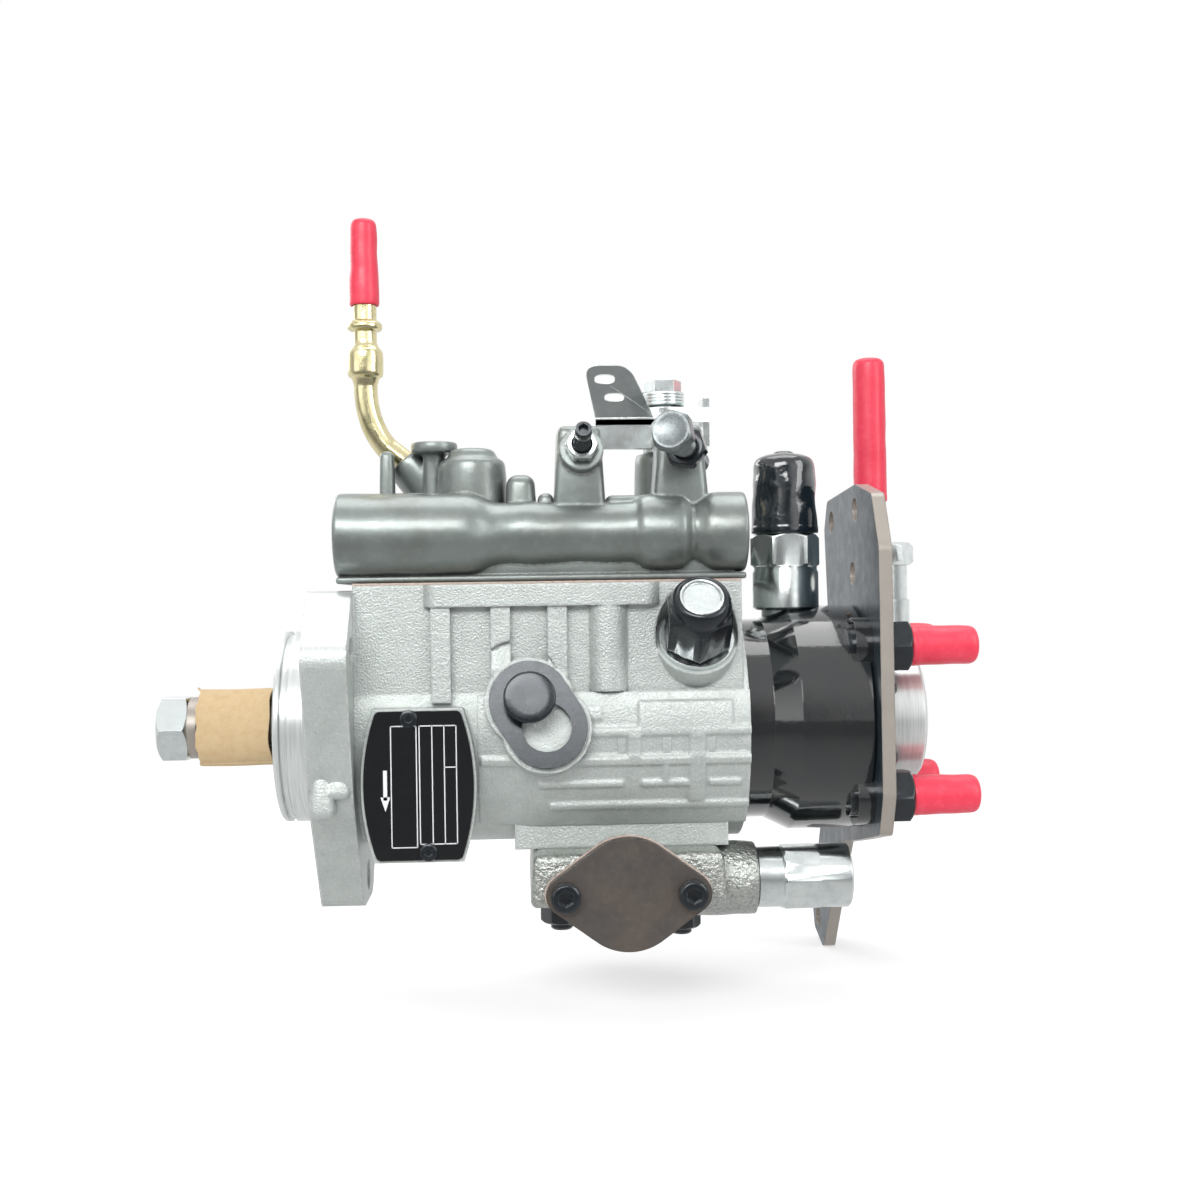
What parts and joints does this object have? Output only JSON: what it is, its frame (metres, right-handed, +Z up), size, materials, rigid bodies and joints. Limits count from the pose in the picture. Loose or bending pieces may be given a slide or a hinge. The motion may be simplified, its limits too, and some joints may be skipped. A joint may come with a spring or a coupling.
{
  "type": "diesel injection pump",
  "caption": "Rotary distributor diesel injection pump with flange drive, governor cover, hydraulic head, delivery unions, advance unit and shut-off solenoid.",
  "frame": {"origin": "centre of the pilot spigot on the mounting face of the flange", "axes": "+X along the drive shaft towards the hydraulic head, +Z up towards the governor cover, -Y towards the name plate side"},
  "size_m": [0.2888, 0.1451, 0.2794],
  "materials": {
    "black_gloss": "gloss black coating",
    "black_oxide": "black oxide",
    "black_plate": "gloss black plate",
    "black_vinyl": "dipped vinyl",
    "bronze": "machined",
    "cast_aluminium": "sand cast",
    "cast_iron": "cast",
    "cover_brown": "dark oiled steel",
    "cover_paint": "gloss paint over casting",
    "dark_steel": "phosphate coated steel",
    "gasket": "pressed fibre",
    "hard_steel": "ground",
    "kraft_paper": "matte kraft",
    "nitrile": "moulded",
    "red_vinyl": "dipped vinyl",
    "yellow_zinc": "yellow passivated zinc",
    "zinc": "zinc plated"
  },
  "bodies": {
    "pump": {"advance_cover": "cover_brown", "advance_cover_joint": "gasket", "advance_cover_screws": "black_oxide", "advance_housing": "cast_iron", "advance_nuts": "black_oxide", "advance_plug": "black_oxide", "advance_spring": "hard_steel", "advance_union": "zinc", "arm_pivot_pin": "hard_steel", "bracket_bolts": "black_oxide", "cover_joint": "gasket", "cover_screws": "black_oxide", "delivery_unions": "black_oxide", "end_plate": "cast_aluminium", "governor_cover": "cover_paint", "governor_spring": "hard_steel", "head_seal_ring": "nitrile", "hydraulic_head": "black_gloss", "idle_locknut": "zinc", "idle_screw": "black_oxide", "inlet_strainer": "zinc", "inlet_union": "zinc", "lock_screw": "dark_steel", "name_plate": "black_plate", "plate_screws": "black_oxide", "port_nut": "black_gloss", "port_washer": "zinc", "pump_housing": "cast_aluminium", "rear_bracket": "dark_steel", "return_pipe": "yellow_zinc", "shaft_bush": "bronze", "shaft_seal": "nitrile", "shutoff_solenoid": "zinc", "speed_locknut": "black_oxide", "speed_screw": "black_oxide"},
    "drive_train": {"drive_shaft": "hard_steel", "drive_nut": "zinc", "spring_washer": "dark_steel", "paper_sleeve": "kraft_paper", "weight_carrier": "hard_steel", "flyweights": "hard_steel", "distributor_rotor": "hard_steel", "transfer_blades": "hard_steel", "cam_rollers": "hard_steel"},
    "thrust": {"thrust_sleeve": "hard_steel"},
    "governor_link": {"governor_arm": "hard_steel"},
    "metering": {"metering_valve": "hard_steel"},
    "throttle": {"throttle_shaft": "hard_steel", "throttle_lever": "zinc", "throttle_coil": "zinc", "spring_plate": "zinc", "lever_nut": "zinc"},
    "timing": {"cam_ring": "hard_steel"},
    "advance": {"advance_piston": "hard_steel"},
    "shutoff": {"solenoid_plunger": "hard_steel"},
    "lock_slide": {"lock_plate": "black_oxide"},
    "delivery_cap_set": {"delivery_caps": "red_vinyl"},
    "return_cap_piece": {"return_cap": "red_vinyl"},
    "inlet_cap_piece": {"inlet_cap": "red_vinyl"},
    "boot_piece": {"solenoid_boot": "black_vinyl"}
  },
  "joints": [
    {"name": "shaft_spin", "type": "hinge", "parent": "pump", "child": "drive_train", "pos_m": [0, 0, 0], "axis": [1, 0, 0], "continuous": true},
    {"name": "thrust_travel", "type": "slide", "parent": "drive_train", "child": "thrust", "axis": [1, 0, 0], "range_m": [0, 0.004]},
    {"name": "governor_swing", "type": "hinge", "parent": "pump", "child": "governor_link", "pos_m": [0.0715, 0, 0.044], "axis": [0, -1, 0], "range_deg": [0, 5]},
    {"name": "metering_turn", "type": "hinge", "parent": "pump", "child": "metering", "pos_m": [0.127, 0.008, 0.03], "axis": [0, 0, 1], "range_deg": [0, 20]},
    {"name": "throttle_swing", "type": "hinge", "parent": "pump", "child": "throttle", "pos_m": [0.1247, 0.008, 0.1], "axis": [0, 0, -1], "range_deg": [0, 40]},
    {"name": "advance_travel", "type": "slide", "parent": "pump", "child": "advance", "axis": [0, 1, 0], "range_m": [0, 0.005]},
    {"name": "cam_turn", "type": "hinge", "parent": "pump", "child": "timing", "pos_m": [0.106, 0, 0], "axis": [1, 0, 0], "range_deg": [0, 5.73]},
    {"name": "shutoff_travel", "type": "slide", "parent": "pump", "child": "shutoff", "axis": [0, 0, 1], "range_m": [0, 0.002]},
    {"name": "lock_travel", "type": "slide", "parent": "pump", "child": "lock_slide", "axis": [-0.5299, 0.1836, 0.8279], "range_m": [0, 0.008]},
    {"name": "delivery_caps_off", "type": "slide", "parent": "pump", "child": "delivery_cap_set", "axis": [1, 0, 0], "range_m": [0, 0.03]},
    {"name": "return_cap_off", "type": "slide", "parent": "pump", "child": "return_cap_piece", "axis": [0, 0, 1], "range_m": [0, 0.035]},
    {"name": "inlet_cap_off", "type": "slide", "parent": "pump", "child": "inlet_cap_piece", "axis": [0, 0, 1], "range_m": [0, 0.08]},
    {"name": "boot_off", "type": "slide", "parent": "pump", "child": "boot_piece", "axis": [0, 0, 1], "range_m": [0, 0.035]}
  ],
  "couplings": [
    {"joint": "governor_swing", "follows": "thrust_travel", "rad_per_m": 21.8},
    {"joint": "metering_turn", "follows": "thrust_travel", "rad_per_m": 87},
    {"joint": "cam_turn", "follows": "advance_travel", "rad_per_m": 20}
  ]
}
